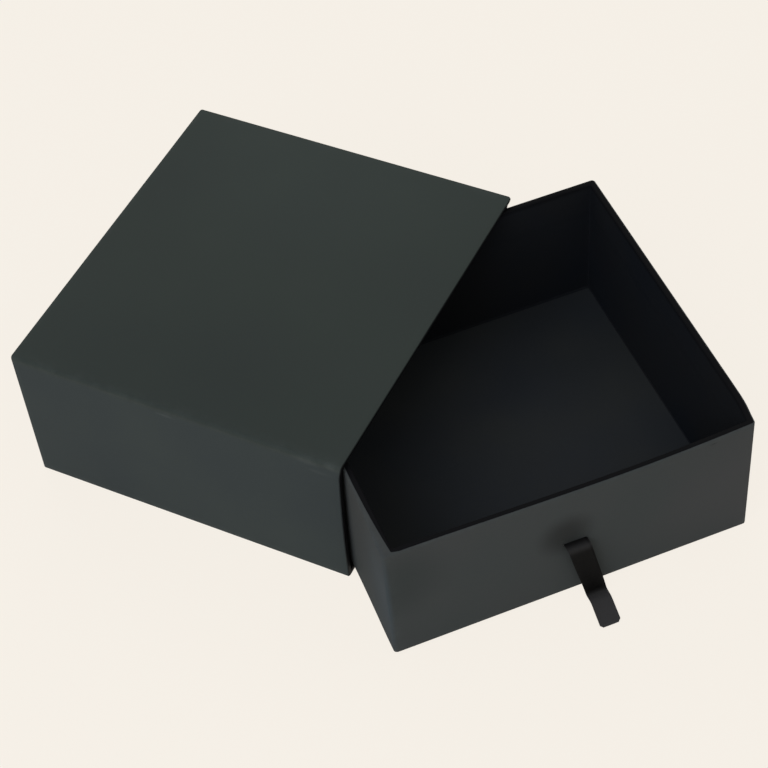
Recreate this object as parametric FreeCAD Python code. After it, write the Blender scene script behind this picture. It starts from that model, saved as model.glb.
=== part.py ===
"""Sliding drawer gift box: a rigid sleeve of wrapped greyboard and a wrapped board tray with a ribbon pull.

The sleeve is a tube of four boards with a back board let into its far end. Gummed stay tapes hold the
board edges, a paper wrap covers the outside and turns in round the mouth, and plain sheets cover the back,
the base and the inside. The tray is five boards held by corner stays and wrapped; its black lining laps
over the rim. A ribbon, folded double, comes out through a slot in the tray's front; its inner end is glued
down under a patch.

The sleeve stands square to the axes. The tray is drawn out and turned, with one back corner in the mouth:
it leans on both mouth edges, on the lip of the sleeve's base and on one front corner.

Millimetres. X runs across the mouth, Y from the mouth to the back, Z up. The origin is the middle of the
sleeve's base. The tray is modelled square, in a frame of its own whose origin is the lower edge of its
front, at the middle, and one placement then moves it to where it lies.
"""
import FreeCAD, Part
import math
import os

from FreeCAD import Placement, Rotation, Vector

# Sleeve, outside
sleeve_width = 180.0
sleeve_depth = 169.0
sleeve_height = 82.0
sleeve_fold_radius = 1.8
sleeve_edge_radius = 1.2

# Sheet materials
board = 2.0
stay_tape = 0.15
wrap_paper = 0.2
cover_sheet = 0.2
lining_paper = 0.2

# Paper edges
stay_tape_width = 14.0
tape_end_gap = 1.0
turn_in = 16.0
cover_margin = 2.0

# Running room of the tray in the sleeve
side_clearance = 0.45
height_clearance = 2.4
back_clearance = 0.75

# Tray
tray_corner_radius = 1.5
tray_base_radius = 0.9
rim_radius = 0.45
rim_margin = 0.7

# Place of the turned tray, in degrees, and its clearance to what it leans on
tray_turn = 42.1
rest_gap = 0.3

# Ribbon pull
ribbon_width = 10.0
ribbon_thickness = 0.7
ribbon_offset = 0.7
slot_side_play = 0.9
slot_height_play = 0.25
anchor_length = 20.0
patch_border = 5.0
patch_paper = 0.15
tail_root_gap = 0.5
tail_drift = 7.6
tail_reach = 23.0
tail_tip_radius = 1.6
tail_steps = 36

# The tail's middle line after the slot is a smooth curve drawn by these points: shares of the drift
# sideways, of the reach out from the tray's front, and of the height from the surface up to the slot
tail_shares = [
    (0.00, 0.09, 1.000),
    (0.02, 0.19, 1.000),
    (0.12, 0.205, 0.880),
    (0.40, 0.215, 0.620),
    (0.75, 0.225, 0.300),
    (0.95, 0.235, 0.100),
    (1.02, 0.26, 0.000),
    (1.06, 0.42, 0.000),
    (0.96, 0.62, 0.000),
    (0.88, 0.82, 0.000),
    (0.80, 1.00, 0.000),
]

# One overrun serves every cut that goes right through, and one tolerance finds edges
overrun = 1.0
tolerance = 0.001

# Thicknesses that stack up
fold_cover = stay_tape + wrap_paper
sheet_cover = fold_cover + cover_sheet


def block(x, y, z):
    """A box between two limits along each axis."""
    size = [high - low for low, high in (x, y, z)]
    return Part.makeBox(*size, Vector(x[0], y[0], z[0]))


def centred(width, middle=0.0):
    """The limits of a width about its middle."""
    return (middle - width / 2, middle + width / 2)


def grown(limits, amount):
    """The limits moved apart by amount at both ends."""
    return (limits[0] - amount, limits[1] + amount)


def edges_in(shape, x=None, y=None, z=None):
    """The edges that lie wholly in one of the planes given for each axis."""
    found = []
    for edge in shape.Edges:
        bounds = edge.BoundBox
        spans = (
            (x, bounds.XMin, bounds.XMax),
            (y, bounds.YMin, bounds.YMax),
            (z, bounds.ZMin, bounds.ZMax),
        )
        if all(
            planes is None
            or any(abs(low - plane) < tolerance and abs(high - plane) < tolerance for plane in planes)
            for planes, low, high in spans
        ):
            found.append(edge)
    return found


def edges_within(shape, x, y, z):
    """The edges at one level that lie inside a rectangle or along its border."""
    x, y = grown(x, tolerance), grown(y, tolerance)
    return [
        edge
        for edge in edges_in(shape, z=(z,))
        if x[0] < edge.BoundBox.XMin and edge.BoundBox.XMax < x[1]
        and y[0] < edge.BoundBox.YMin and edge.BoundBox.YMax < y[1]
    ]


def joined(first, *others):
    """The shapes fused into one solid, with no seams where their faces run on."""
    fused = first.fuse(list(others)).removeSplitter()
    return fused.Solids[0] if len(fused.Solids) == 1 else fused


def cut_away(shape, *tools):
    """The shape less each tool."""
    left = shape.cut(list(tools))
    return left.Solids[0] if len(left.Solids) == 1 else left


def end_strips(limits, width):
    """The two strips of a width at the ends of a span."""
    return (limits[0], limits[0] + width), (limits[1] - width, limits[1])


# Sleeve limits: the wrap's outside, the boards' outside, the boards' inside and the clear bay
mouth_y = -sleeve_depth / 2
back_y = sleeve_depth / 2
sleeve_x = centred(sleeve_width)
sleeve_y = (mouth_y, back_y - cover_sheet)
sleeve_z = (cover_sheet, sleeve_height)
core_x = grown(sleeve_x, -fold_cover)
core_y = (mouth_y + wrap_paper, back_y - sheet_cover)
core_z = (sheet_cover, sleeve_height - fold_cover)
tube_x = grown(core_x, -board)
tube_y = (core_y[0], core_y[1] - board)
tube_z = grown(core_z, -board)
bay_x = grown(tube_x, -lining_paper)
bay_y = (mouth_y, tube_y[1] - lining_paper)
bay_z = grown(tube_z, -lining_paper)


def folded_sleeve(x, y, z, inset):
    """A solid sleeve, its long folds and back edges rounded, inset by a thickness from the wrap's outside."""
    shape = block(x, y, z)
    shape = shape.makeFillet(sleeve_fold_radius - inset, edges_in(shape, x=x, z=z))
    return shape.makeFillet(sleeve_edge_radius - inset, edges_in(shape, y=y[1:]))


def sleeve_boards(core):
    """The five boards. Top and base span the width, the sides stand between them, the back is let in."""
    tube = cut_away(core, block(tube_x, grown(core_y, overrun), tube_z))
    return {
        "sleeve_top_board": tube.common(block(core_x, core_y, (tube_z[1], core_z[1]))),
        "sleeve_base_board": tube.common(block(core_x, core_y, (core_z[0], tube_z[0]))),
        "sleeve_left_board": tube.common(block((core_x[0], tube_x[0]), core_y, tube_z)),
        "sleeve_right_board": tube.common(block((tube_x[1], core_x[1]), core_y, tube_z)),
        "sleeve_back_board": block(tube_x, (tube_y[1], core_y[1]), tube_z),
    }


def sleeve_tapes(core):
    """Stay tapes: one along each long fold, and one over each back edge, their ends kept a little apart."""
    x, y, z = grown(core_x, stay_tape), (core_y[0], core_y[1] + stay_tape), grown(core_z, stay_tape)
    skin = cut_away(folded_sleeve(x, y, z, wrap_paper), core)
    over_back = (y[1] - stay_tape_width, y[1])
    before_back = (y[0], over_back[0] - tape_end_gap)
    long_tapes = [
        skin.common(block(side, before_back, level))
        for side in end_strips(x, stay_tape_width)
        for level in end_strips(z, stay_tape_width)
    ]
    back_tapes = [skin.common(block(x, over_back, level)) for level in end_strips(z, stay_tape_width)]
    between = grown(z, -stay_tape_width - tape_end_gap)
    back_tapes += [skin.common(block(side, over_back, between)) for side in end_strips(x, stay_tape_width)]
    return {
        "sleeve_fold_tapes": Part.makeCompound(long_tapes),
        "sleeve_back_tapes": Part.makeCompound(back_tapes),
    }


def sleeve_papers(core, tapes):
    """The wrap with its turn-ins, the sheets over the back and the base, and the lining of the bay."""
    window_x = grown(sleeve_x, -turn_in)
    back_window = (window_x, (core_y[1], sleeve_y[1]), grown(sleeve_z, -turn_in))
    base_window = (window_x, grown(sleeve_y, -turn_in), (sleeve_z[0], core_z[0]))
    mouth_turn_y = (mouth_y, mouth_y + turn_in)
    wrap = cut_away(
        folded_sleeve(sleeve_x, sleeve_y, sleeve_z, 0.0),
        core,
        *tapes,
        block(bay_x, (mouth_y - overrun, core_y[0]), bay_z),
        block(back_window[0], (core_y[1], sleeve_y[1] + overrun), back_window[2]),
        block(base_window[0], base_window[1], (sleeve_z[0] - overrun, core_z[0])),
    )
    mouth_turn = cut_away(
        block(tube_x, mouth_turn_y, tube_z), block(bay_x, grown(mouth_turn_y, overrun), bay_z)
    )
    back_plate = block(
        grown(sleeve_x, -cover_margin), (sleeve_y[1], back_y), grown((0.0, sleeve_height), -cover_margin)
    )
    base_plate = block(
        grown(sleeve_x, -cover_margin), grown((mouth_y, back_y), -cover_margin), (0.0, cover_sheet)
    )
    lining_y = (mouth_turn_y[1], tube_y[1])
    return {
        "sleeve_wrap": joined(wrap, mouth_turn),
        "sleeve_back_sheet": joined(back_plate, cut_away(block(*back_window), *tapes)),
        "sleeve_base_sheet": joined(base_plate, cut_away(block(*base_window), *tapes)),
        "sleeve_lining": cut_away(
            block(tube_x, lining_y, tube_z), block(bay_x, (lining_y[0] - overrun, bay_y[1]), bay_z)
        ),
    }


# Tray limits, in the tray's own frame: the wrap's outside, the boards' outside and inside, the clear inside
tray_width = bay_x[1] - bay_x[0] - 2 * side_clearance
tray_height = bay_z[1] - bay_z[0] - height_clearance
tray_depth = bay_y[1] - bay_y[0] - back_clearance
tray_x = centred(tray_width)
tray_y = (0.0, tray_depth)
tray_z = (cover_sheet, tray_height - lining_paper)
shell_x = grown(tray_x, -fold_cover)
shell_y = grown(tray_y, -fold_cover)
shell_z = (sheet_cover, tray_z[1] - wrap_paper)
well_x = grown(shell_x, -board)
well_y = grown(shell_y, -board)
well_floor = shell_z[0] + board
turn_floor = tray_z[1] - turn_in
slot_z = tray_height / 2
slot_x = centred(ribbon_width + 2 * slot_side_play)
slot_level = centred(ribbon_thickness + 2 * slot_height_play, slot_z)
ribbon_x = centred(ribbon_width, ribbon_offset)


def folded_tray(x, y, z, inset):
    """A solid tray, its corners and base edges rounded, inset by a thickness from the wrap's outside."""
    shape = block(x, y, z)
    shape = shape.makeFillet(tray_corner_radius - inset, edges_in(shape, x=x, y=y))
    return shape.makeFillet(tray_base_radius - inset, edges_in(shape, z=z[:1]))


def ribbon_slot(y):
    """The slot's cutter through the tray's front, between two depths."""
    return block(slot_x, grown(y, overrun), slot_level)


def tray_boards(core):
    """The five boards. Front and back span the width, the sides stand between them, the floor is let in."""
    walls = cut_away(core, block(well_x, well_y, grown(shell_z, overrun)))
    front = walls.common(block(shell_x, (shell_y[0], well_y[0]), shell_z))
    return {
        "tray_front_board": cut_away(front, ribbon_slot((shell_y[0], well_y[0]))),
        "tray_back_board": walls.common(block(shell_x, (well_y[1], shell_y[1]), shell_z)),
        "tray_left_board": walls.common(block((shell_x[0], well_x[0]), well_y, shell_z)),
        "tray_right_board": walls.common(block((well_x[1], shell_x[1]), well_y, shell_z)),
        "tray_floor_board": block(well_x, well_y, (shell_z[0], well_floor)),
    }


def tray_tapes(core):
    """Corner stays: one round each upright corner."""
    x, y = grown(shell_x, stay_tape), grown(shell_y, stay_tape)
    skin = cut_away(folded_tray(x, y, (shell_z[0] - stay_tape, shell_z[1]), wrap_paper), core)
    return [
        skin.common(block(side, end, shell_z))
        for side in end_strips(x, stay_tape_width)
        for end in end_strips(y, stay_tape_width)
    ]


def ring(x, y, z, thickness):
    """A wall of one thickness that stands just inside the given limits."""
    return cut_away(block(x, y, z), block(grown(x, -thickness), grown(y, -thickness), grown(z, overrun)))


def tray_papers(core, tapes):
    """The wrap, turned in over the rim, the wall lining that laps over it, and the base and floor sheets."""
    window = (grown(tray_x, -turn_in), grown(tray_y, -turn_in), (tray_z[0], shell_z[0]))
    opening_x, opening_y = grown(well_x, -wrap_paper), grown(well_y, -wrap_paper)
    outside = folded_tray(tray_x, tray_y, tray_z, 0.0)
    outside = outside.makeFillet(rim_radius, edges_in(outside, z=tray_z[1:]))
    wrap = cut_away(
        outside,
        core,
        *tapes,
        block(opening_x, opening_y, (shell_z[1], tray_z[1] + overrun)),
        block(window[0], window[1], (tray_z[0] - overrun, shell_z[0])),
        ribbon_slot((tray_y[0], shell_y[0])),
    )
    wrap = joined(wrap, ring(well_x, well_y, (turn_floor, tray_z[1]), wrap_paper))
    wrap = wrap.makeFillet(rim_radius, edges_within(wrap, opening_x, opening_y, tray_z[1]))
    over_turn = wrap_paper + lining_paper
    lap_x, lap_y = grown(tray_x, -rim_margin), grown(tray_y, -rim_margin)
    lining = joined(
        ring(well_x, well_y, (well_floor, turn_floor), lining_paper),
        ring(well_x, well_y, (turn_floor - lining_paper, tray_z[1]), over_turn),
        ring(lap_x, lap_y, (tray_z[1], tray_height), fold_cover + board + over_turn - rim_margin),
    )
    inside_x, inside_y = grown(well_x, -over_turn), grown(well_y, -over_turn)
    inner_fold = edges_within(lining, inside_x, inside_y, tray_height)
    lining = lining.makeFillet(rim_radius + lining_paper, inner_fold)
    plate = block(grown(tray_x, -cover_margin), grown(tray_y, -cover_margin), (0.0, cover_sheet))
    return {
        "tray_wrap": wrap,
        "tray_base_sheet": joined(plate, cut_away(block(*window), *tapes)),
        "tray_wall_lining": cut_away(lining, wrap, ribbon_slot((well_y[0], well_y[0] + lining_paper))),
        "tray_floor_lining": block(
            grown(well_x, -lining_paper),
            grown(well_y, -lining_paper),
            (well_floor, well_floor + lining_paper),
        ),
    }


def ribbon_inner_end():
    """The ribbon's inner end, through the slot and glued down inside the front, and the patch over it."""
    wall_y = well_y[0] + lining_paper
    leg_y = (wall_y, wall_y + ribbon_thickness)
    neck_z = centred(ribbon_thickness, slot_z)
    leg_z = (slot_z - anchor_length, neck_z[1])
    anchor = joined(
        block(ribbon_x, (tray_y[0], leg_y[1]), neck_z),
        block(ribbon_x, leg_y, leg_z),
    )
    anchor = anchor.makeFillet(ribbon_thickness / 2, edges_in(anchor, y=leg_y[1:], z=neck_z[1:]))
    plate_y, hump_y = (wall_y, wall_y + patch_paper), (wall_y, leg_y[1] + patch_paper)
    patch_plate = block(grown(ribbon_x, patch_border), plate_y, grown(leg_z, patch_border))
    patch_hump = block(grown(ribbon_x, patch_paper), hump_y, grown(leg_z, patch_paper))
    return {"ribbon_anchor": anchor, "anchor_patch": cut_away(joined(patch_plate, patch_hump), anchor)}


def tray_placement():
    """Where the tray lies: turned, wedged in the mouth by a back corner and tipped over the base's lip."""
    turn = math.radians(tray_turn)
    wedge = bay_x[1] - bay_x[0] - rest_gap / math.cos(turn) - rest_gap / math.sin(turn)
    corner_depth = wedge * math.sin(turn) * math.cos(turn)
    corner_x = bay_x[0] + rest_gap / math.cos(turn) + corner_depth * math.tan(turn)
    across = Vector(math.cos(turn), -math.sin(turn), 0.0)
    inward = Vector(math.sin(turn), math.cos(turn), 0.0)
    corner = Vector(corner_x, mouth_y + corner_depth, 0.0)
    front_middle = corner + across * (tray_width / 2) - inward * tray_depth
    low_corner = front_middle + across * (tray_width / 2)
    lip = Vector(0.0, mouth_y, bay_z[0])
    tip = math.degrees(math.asin(bay_z[0] / (mouth_y - low_corner.y)))
    turned = Placement(front_middle - Vector(0.0, mouth_y, 0.0), Rotation(Vector(0, 0, 1), -tray_turn))
    tipped = Placement(lip + Vector(0.0, 0.0, rest_gap), Rotation(Vector(1, 0, 0), tip))
    return tipped * turned, corner_depth


tray_place, corner_depth = tray_placement()


def resting_height(x, y):
    """The height, in the tray's frame, of the middle of a ribbon that lies on what the box stands on."""
    at_zero = tray_place.multVec(Vector(x, y, 0.0)).z
    rise = tray_place.multVec(Vector(x, y, tray_height)).z - at_zero
    return (rest_gap + ribbon_thickness / 2 - at_zero) * tray_height / rise


def ribbon_tail():
    """The ribbon's free end: out of the slot, down, and along what the box stands on."""
    root = Vector(ribbon_offset, -tail_root_gap, slot_z)
    poles = [root]
    for drift_share, reach_share, height_share in tail_shares:
        x, y = ribbon_offset + drift_share * tail_drift, -reach_share * tail_reach
        rest_z = resting_height(x, y)
        poles.append(Vector(x, y, rest_z + height_share * (slot_z - rest_z)))
    middle = Part.BSplineCurve()
    middle.buildFromPoles(poles, False, 3)
    last = middle.LastParameter
    sections = []
    for step in range(tail_steps + 1):
        at = last * step / tail_steps
        here = middle.value(at)
        along = middle.tangent(at)[0]
        through = Vector(0.0, -along.z, along.y).normalize() * (ribbon_thickness / 2)
        side = Vector(ribbon_width / 2, 0.0, 0.0)
        corners = [here - side - through, here + side - through, here + side + through, here - side + through]
        sections.append(Part.makePolygon(corners + corners[:1]))
    tail = Part.makeLoft(sections, True, True)
    tip_edges = [
        edge
        for edge in tail.Edges
        if abs(edge.BoundBox.YMin + tail_reach) < ribbon_thickness
        and ribbon_thickness / 2 < edge.BoundBox.ZLength < 2 * ribbon_thickness
    ]
    run = middle.toShape().Length
    print(f"ribbon tail: run {run:.1f}, volume {tail.Volume:.1f}, width x thickness x run"
          f" {run * ribbon_width * ribbon_thickness:.1f}")
    return tail.makeFillet(tail_tip_radius, tip_edges)


def all_nodes():
    """Each node's name and its shape where it lies: the sleeve as modelled, the tray's pieces placed."""
    sleeve_core = folded_sleeve(core_x, core_y, core_z, fold_cover)
    nodes = sleeve_boards(sleeve_core)
    tapes = sleeve_tapes(sleeve_core)
    nodes.update(tapes)
    nodes.update(sleeve_papers(sleeve_core, [solid for group in tapes.values() for solid in group.Solids]))

    tray_core = folded_tray(shell_x, shell_y, shell_z, fold_cover)
    stays = tray_tapes(tray_core)
    tray = tray_boards(tray_core)
    tray["tray_corner_stays"] = Part.makeCompound(stays)
    tray.update(tray_papers(tray_core, stays))
    tray.update(ribbon_inner_end())
    tray["ribbon_tail"] = ribbon_tail()
    for name, shape in tray.items():
        moved = shape.copy()
        moved.Placement = tray_place * moved.Placement
        nodes[name] = moved
    return nodes


def main():
    os.makedirs("parts", exist_ok=True)
    nodes = all_nodes()
    for name, shape in nodes.items():
        bounds = shape.BoundBox
        print(f"{name:22} solids {len(shape.Solids)} valid {shape.isValid()} volume {shape.Volume:9.1f}"
              f" z {bounds.ZMin:6.2f} {bounds.ZMax:6.2f}")
        shape.exportStep(f"parts/{name}.step")
    pivot = tray_place.multVec(Vector(ribbon_offset, 0.0, slot_z))
    lift_axis = tray_place.Rotation.multVec(Vector(-1, 0, 0))
    print(f"{len(nodes)} nodes, tray {tray_width:.1f} x {tray_depth:.1f} x {tray_height:.1f}")
    print(f"corner {corner_depth:.2f} into the mouth, tray tipped {tray_place.Rotation.Axis}")
    print(f"ribbon pivot {tuple(round(v, 3) for v in pivot)} axis {tuple(round(v, 5) for v in lift_axis)}")


main()
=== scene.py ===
"""Looks of the sliding drawer gift box: dyed paper over board, a black lining and a black ribbon pull.

Metres, in the part's own frame: X across the sleeve's mouth, Y from the mouth to the back, Z up. The tray is
turned and tipped, so its pieces are drawn in the tray's own axes, which are read from its floor board.
"""
import math

import bmesh
import bpy
import numpy as np
from mathutils import Matrix, Vector, noise


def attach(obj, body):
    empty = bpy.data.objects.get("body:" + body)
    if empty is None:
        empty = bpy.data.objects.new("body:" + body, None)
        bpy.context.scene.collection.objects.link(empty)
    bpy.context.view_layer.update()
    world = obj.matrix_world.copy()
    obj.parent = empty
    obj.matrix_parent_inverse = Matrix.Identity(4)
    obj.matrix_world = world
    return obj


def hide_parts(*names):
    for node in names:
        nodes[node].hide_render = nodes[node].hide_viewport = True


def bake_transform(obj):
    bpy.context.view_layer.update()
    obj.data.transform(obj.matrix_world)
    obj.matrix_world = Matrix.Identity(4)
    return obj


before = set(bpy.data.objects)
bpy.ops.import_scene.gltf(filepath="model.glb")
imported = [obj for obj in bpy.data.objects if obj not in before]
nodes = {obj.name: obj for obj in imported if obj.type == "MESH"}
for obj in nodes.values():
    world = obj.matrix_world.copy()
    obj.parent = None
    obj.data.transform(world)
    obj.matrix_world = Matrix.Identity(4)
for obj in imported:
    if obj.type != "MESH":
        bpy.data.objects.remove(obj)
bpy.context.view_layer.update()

MM = 0.001
SQUARE = Matrix.Identity(4)

# Papers, in thickness and in how they are folded. From AXIS_SHARE on, a direction counts as along an axis
PAPER = 0.2 * MM
TURN_IN = 16 * MM
FOLD_STEPS = 6
CELL = 2.6 * MM
BOARD_CELL = 4 * CELL
AXIS_SHARE = 0.9
SMOOTH_ANGLE, RIBBON_SMOOTH = 28, 50
SLEEVE_FOLD, SLEEVE_EDGE = 1.8 * MM, 1.2 * MM
MOUTH_FOLD, INNER_FOLD, TIGHT_FOLD = 0.55 * MM, 0.45 * MM, 0.3 * MM
TRAY_CORNER, TRAY_EDGE = 1.5 * MM, 0.9 * MM
RIM_FOLD, LAP_FOLD, LAP_MARGIN = 0.45 * MM, 0.65 * MM, 0.55 * MM
FOLD_RUN = 40 * MM
RAMP = 6 * MM
LAP_DEPTH = 1.5 * PAPER
SEAM = 0.15 * MM
BASE_PAPER = 0.9 * PAPER
END_FOOT, END_LAP = 6 * MM, 1 * MM
FLOOR_MARGINS, LINING_FOOT = (0.4 * MM, 0.4 * MM, 0.9 * MM, 1.9 * MM), 7 * MM

# Glue waves: the height and size of the broad ones and of the finer cockle. They fade out over the last rows
# of a sheet, its hidden side follows them by a share, and they dip by a share of a flat sheet's thickness
WAVE_RISE, WAVE_SIZE, COCKLE_RISE, COCKLE_SIZE = 0.05 * MM, 38 * MM, 0.02 * MM, 9 * MM
WAVE_EDGE_ROWS, HIDDEN_WAVES, WAVE_DIP = 3, 0.5, 0.25
SEED_SHIFTS = (7.31, 3.17, 1.93)

# Wear and black: how far wear reaches from a fold and from a cut edge, and how far it keeps off what is
# black;
# how the black on the tray's rim lap fades, which is partly a painted shade, darker than the lining so that
# the lit rim reads as dark as the shaded walls, and how fast the sleeve's paper turns black round the
# mouth's edge
WEAR_REACH = 0.9 * MM
CUT_REACH, CUT_WEAR = 2 * WEAR_REACH, 0.5
BLACK_CLEAR, BLACK_FADE = 2.5 * MM, 2.2 * MM
BLACK_FROM, EDGE_BLACK, EDGE_BLACK_FROM, INNER_BLACK = 0.5, 2.2, 0.9, 2

# Handling: the tray's front leans to the left, more at the rim, and bows out, with its left corner swollen.
# The sleeve's top leads at the mouth, with its right corner worn round, and its foot is back. Pairs are for
# left and right, but MITRE_RUN is along the left rim and the front. Boards are cut at HANDLED_CUTS, in
# millimetres from the tray's front and from the mouth
LEAN_FOOT, LEAN_RIM, LEAN_REACH = (0.8 * MM, 0.5 * MM), (1.7 * MM, 1.2 * MM), (30 * MM, 9 * MM)
BOW_RIM, BOW_REACH, BOW_SKEW = 1.9 * MM, 26 * MM, 1.5
CORNER_HOLD = 25 * MM
RACK_TOP, RACK_FOOT, RACK_REACH, RACK_LEVEL = (0.9 * MM, 2.2 * MM), -2.6 * MM, 70 * MM, 0.9
HANDLED_CUTS = (1, 2, 3, 4, 6, 8, 10, 12, 15, 18, 22, 27, 33, 40, 50, 60, 70)
WORN_ROUND, WORN_REACH = 2.4 * MM, 14 * MM
MITRE_SIDE, MITRE_FRONT, MITRE_RUN = 0.8, 0.7, (42 * MM, 5 * MM)

# Ribbon: two plies of a strip folded at the tip. They part where the ribbon is free, and close again towards
# the tip; the points of its line are the part's own
RIBBON_WIDTH, RIBBON_PLY, RIBBON_LIFT = 10 * MM, 0.28 * MM, 0.14 * MM
RIBBON_OFFSET, RIBBON_COLUMNS, RIBBON_SPLAY = 0.7 * MM, 14, 0.6 * MM
RIBBON_DRIFT, RIBBON_REACH = 7.6 * MM, 24.5 * MM
RIBBON_TIP, RIBBON_CUP = 1.1 * MM, 0.12 * MM
FREE_FROM, FREE_RUN = 4 * MM, 6 * MM
PLY_GAP, LEG_GAP = 0.03 * MM, 0.04 * MM
TIP_CLOSING, TIP_LIFT, TIP_TURNS = 9 * MM, 0.15, 9
# Where the ribbon is paler: dust and a painted satin sheen towards the tip, and a painted highlight on the
# top of its arch at the root
DUST_SHEEN_FULL, DUST_SHEEN_END = 12 * MM, 22 * MM
ROOT_HIGHLIGHT, ROOT_HIGHLIGHT_AT, ROOT_HIGHLIGHT_RUN = 0.45, 6.5 * MM, 2.2 * MM
SURFACE_GAP, RIBBON_THICKNESS = 0.3 * MM, 0.7 * MM
ANCHOR_LENGTH = 20 * MM
SLOT_PLAY = (0.9 * MM, 0.25 * MM)
LINE_STEPS = 10
PATCH_PAPER, PATCH_RISE, PATCH_SEAT = 0.15 * MM, 1.3 * MM, 0.01 * MM
PATCH_COLUMNS, PATCH_ROWS, PATCH_SWELL = 31, 41, 1.12

# The inner end's line: shares of the glued length below the slot, and of the way out through the front
ANCHOR_SHARES, OUT_SHARES = (1.0, 0.66, 0.33, 0.05, 0.0), (0.75, 0.35, -0.17)

# The free end's line: shares of the drift sideways, of the reach out from the front, and of the height from
# the surface up to the slot
TAIL_SHARES = [
    (0.0, 0.09, 1.0),
    (0.02, 0.19, 1.0),
    (0.12, 0.205, 0.88),
    (0.4, 0.215, 0.62),
    (0.75, 0.225, 0.3),
    (0.95, 0.235, 0.1),
    (1.02, 0.26, 0.0),
    (1.06, 0.42, 0.0),
    (0.96, 0.62, 0.0),
    (0.88, 0.82, 0.0),
    (0.8, 1.0, 0.0),
]

# Camera: the photograph's view of the box, and its lens on a 36 mm sensor
CAMERA_PLACE = Vector((-0.56651, -0.39443, 0.79145))
CAMERA_AZIMUTH, CAMERA_ELEVATION, CAMERA_ROLL = -59.302, 49.172, -6.263
CAMERA_LENS, CAMERA_SENSOR = 99.2, 36.0
CLIP_START, CLIP_END = 0.05, 20.0


def colour(red, green, blue):
    """A display colour, 0 to 255, as the shader wants it."""
    shares = [value / 255 for value in (red, green, blue)]
    return tuple(s / 12.92 if s <= 0.04045 else ((s + 0.055) / 1.055) ** 2.4 for s in shares) + (1.0,)


# Lights: the sky, and lamps by name, way towards the lamp, elevation, share of full light and tint
SKY_STRENGTH, SKY_TINT = 0.3, (1.0, 1.0, 1.0, 1.0)
LAMP_DISTANCE, LAMP_WIDTH = 1.6, 0.9
LAMPS = [
    ("left", (-1.0, 0.0), 45.0, 0.353, (0.92, 1.0, 1.14)),
    ("front_low", (-1.0, -1.0), 15.0, 0.087, (1.0, 1.0, 1.0)),
    ("front_right", (1.0, -1.0), 45.0, 0.071, (1.0, 1.0, 1.0)),
    ("behind", (1.0, 1.0), 45.0, 0.171, (1.0, 1.0, 1.0)),
]

BACKDROP = colour(245, 239, 230)
BACKDROP_GLOW, GLOW_STRENGTH = 0.93, 1.03
FLOOR_HALF = 6.0

# Sizes of what the materials show
TINT_SIZE, GRAIN_SIZE, HAIR_SIZE, PATCH_SIZE = 60 * MM, 0.6 * MM, 1.4 * MM, 6 * MM
PULP_SIZE, FLECK_SIZE, KRAFT_SIZE = 5 * MM, 0.8 * MM, 2 * MM
RIB_PERIOD, RIB_WOBBLE, FLOAT_PERIOD, SELVAGE_FADE = 0.42 * MM, 0.2, 0.25 * MM, (0.6 * MM, 0.4 * MM)

# Ranges that a source is read over; of four values, the last two are what they are carried to
NOISE_RANGE, TINT_RANGE, RUB_RANGE = (0.3, 0.7), (0.36, 0.64), (0.4, 0.75)
HAIR_SHARE, SPOT_BREAKS = (0.95, 1.25, 0.0, 0.08), (0.35, 0.6, 0.4, 1.0)
FLECK_SHARE = (0.66, 0.74, 0.0, 0.6)
GRAIN_SHADE, SPOT_CORE, HAIR_RELIEF = (0.95, 1.05), 0.2, 0.3
WEAVE_RANGE, WEAVE_STOPS = (0.0, 2.0), (0.1, 0.95)
SELVAGE_SHARE, SELVAGE_RELIEF, DUST_AND_SHEEN_SHARE = 0.3, 1.5, 0.9

# Roughness as a range, how much light glances off, and relief as strength and depth
BOARD_ROUGH, TAPE_ROUGH, RIBBON_ROUGH = (0.88, 0.96), (0.5, 0.68), (0.7, 0.58)
BOARD_SPECULAR, TAPE_SPECULAR, RIBBON_SPECULAR = 0.2, 0.5, 0.05
PAPER_RELIEF, BOARD_RELIEF = (0.3, 0.05 * MM), (0.5, 0.08 * MM)
TAPE_RELIEF, RIBBON_RELIEF = (0.3, 0.04 * MM), (0.5, 0.06 * MM)

BLACK_TONE = colour(10, 10, 12)
BOARD_TONES, BOARD_FLECK = (colour(118, 109, 98), colour(142, 133, 121)), colour(72, 66, 62)
TAPE_TONES = (colour(158, 124, 84), colour(186, 152, 108))
RIBBON_TONES, SELVAGE_TONE = (colour(8, 8, 8), colour(15, 14, 14)), colour(22, 21, 21)
# The ribbon's paler tone, for its dust and painted sheen and highlight
DUST_AND_SHEEN_TONE = colour(74, 72, 71)


# Measures taken from the frame

def points_of(node):
    """A CAD node's vertices as an array."""
    return np.array([v.co for v in nodes[node].data.vertices], float)


def tray_axes():
    """The placement of the tray's own axes: X across its front, Y inward, Z up, origin under its front."""
    normals = {}
    for face in nodes["tray_floor_board"].data.polygons:
        key = tuple(round(v, 2) for v in face.normal)
        normals[key] = normals.get(key, Vector()) + face.normal * face.area
    pull = Vector(points_of("ribbon_tail").mean(0) - points_of("tray_floor_board").mean(0))
    up = max(normals.values(), key=lambda n: n.z).normalized()
    front = max((n.normalized() for n in normals.values()), key=lambda n: n.dot(pull))
    across = (-front).cross(up).normalized()
    axes = Matrix((across, up.cross(across), up)).transposed()
    wrap = points_of("tray_wrap") @ np.array(axes)
    low_x, high_x = wrap[:, 0].min(), wrap[:, 0].max()
    base = (points_of("tray_base_sheet") @ np.array(axes))[:, 2].min()
    origin = axes @ Vector(((low_x + high_x) / 2, wrap[:, 1].min(), base))
    return Matrix.Translation(origin) @ axes.to_4x4()


def limits(node, place=SQUARE):
    """A CAD node's lowest and highest corners in the given axes."""
    back = np.array(place.inverted())
    local = points_of(node) @ back[:3, :3].T + back[:3, 3]
    return local.min(0), local.max(0)


TRAY = tray_axes()
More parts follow.
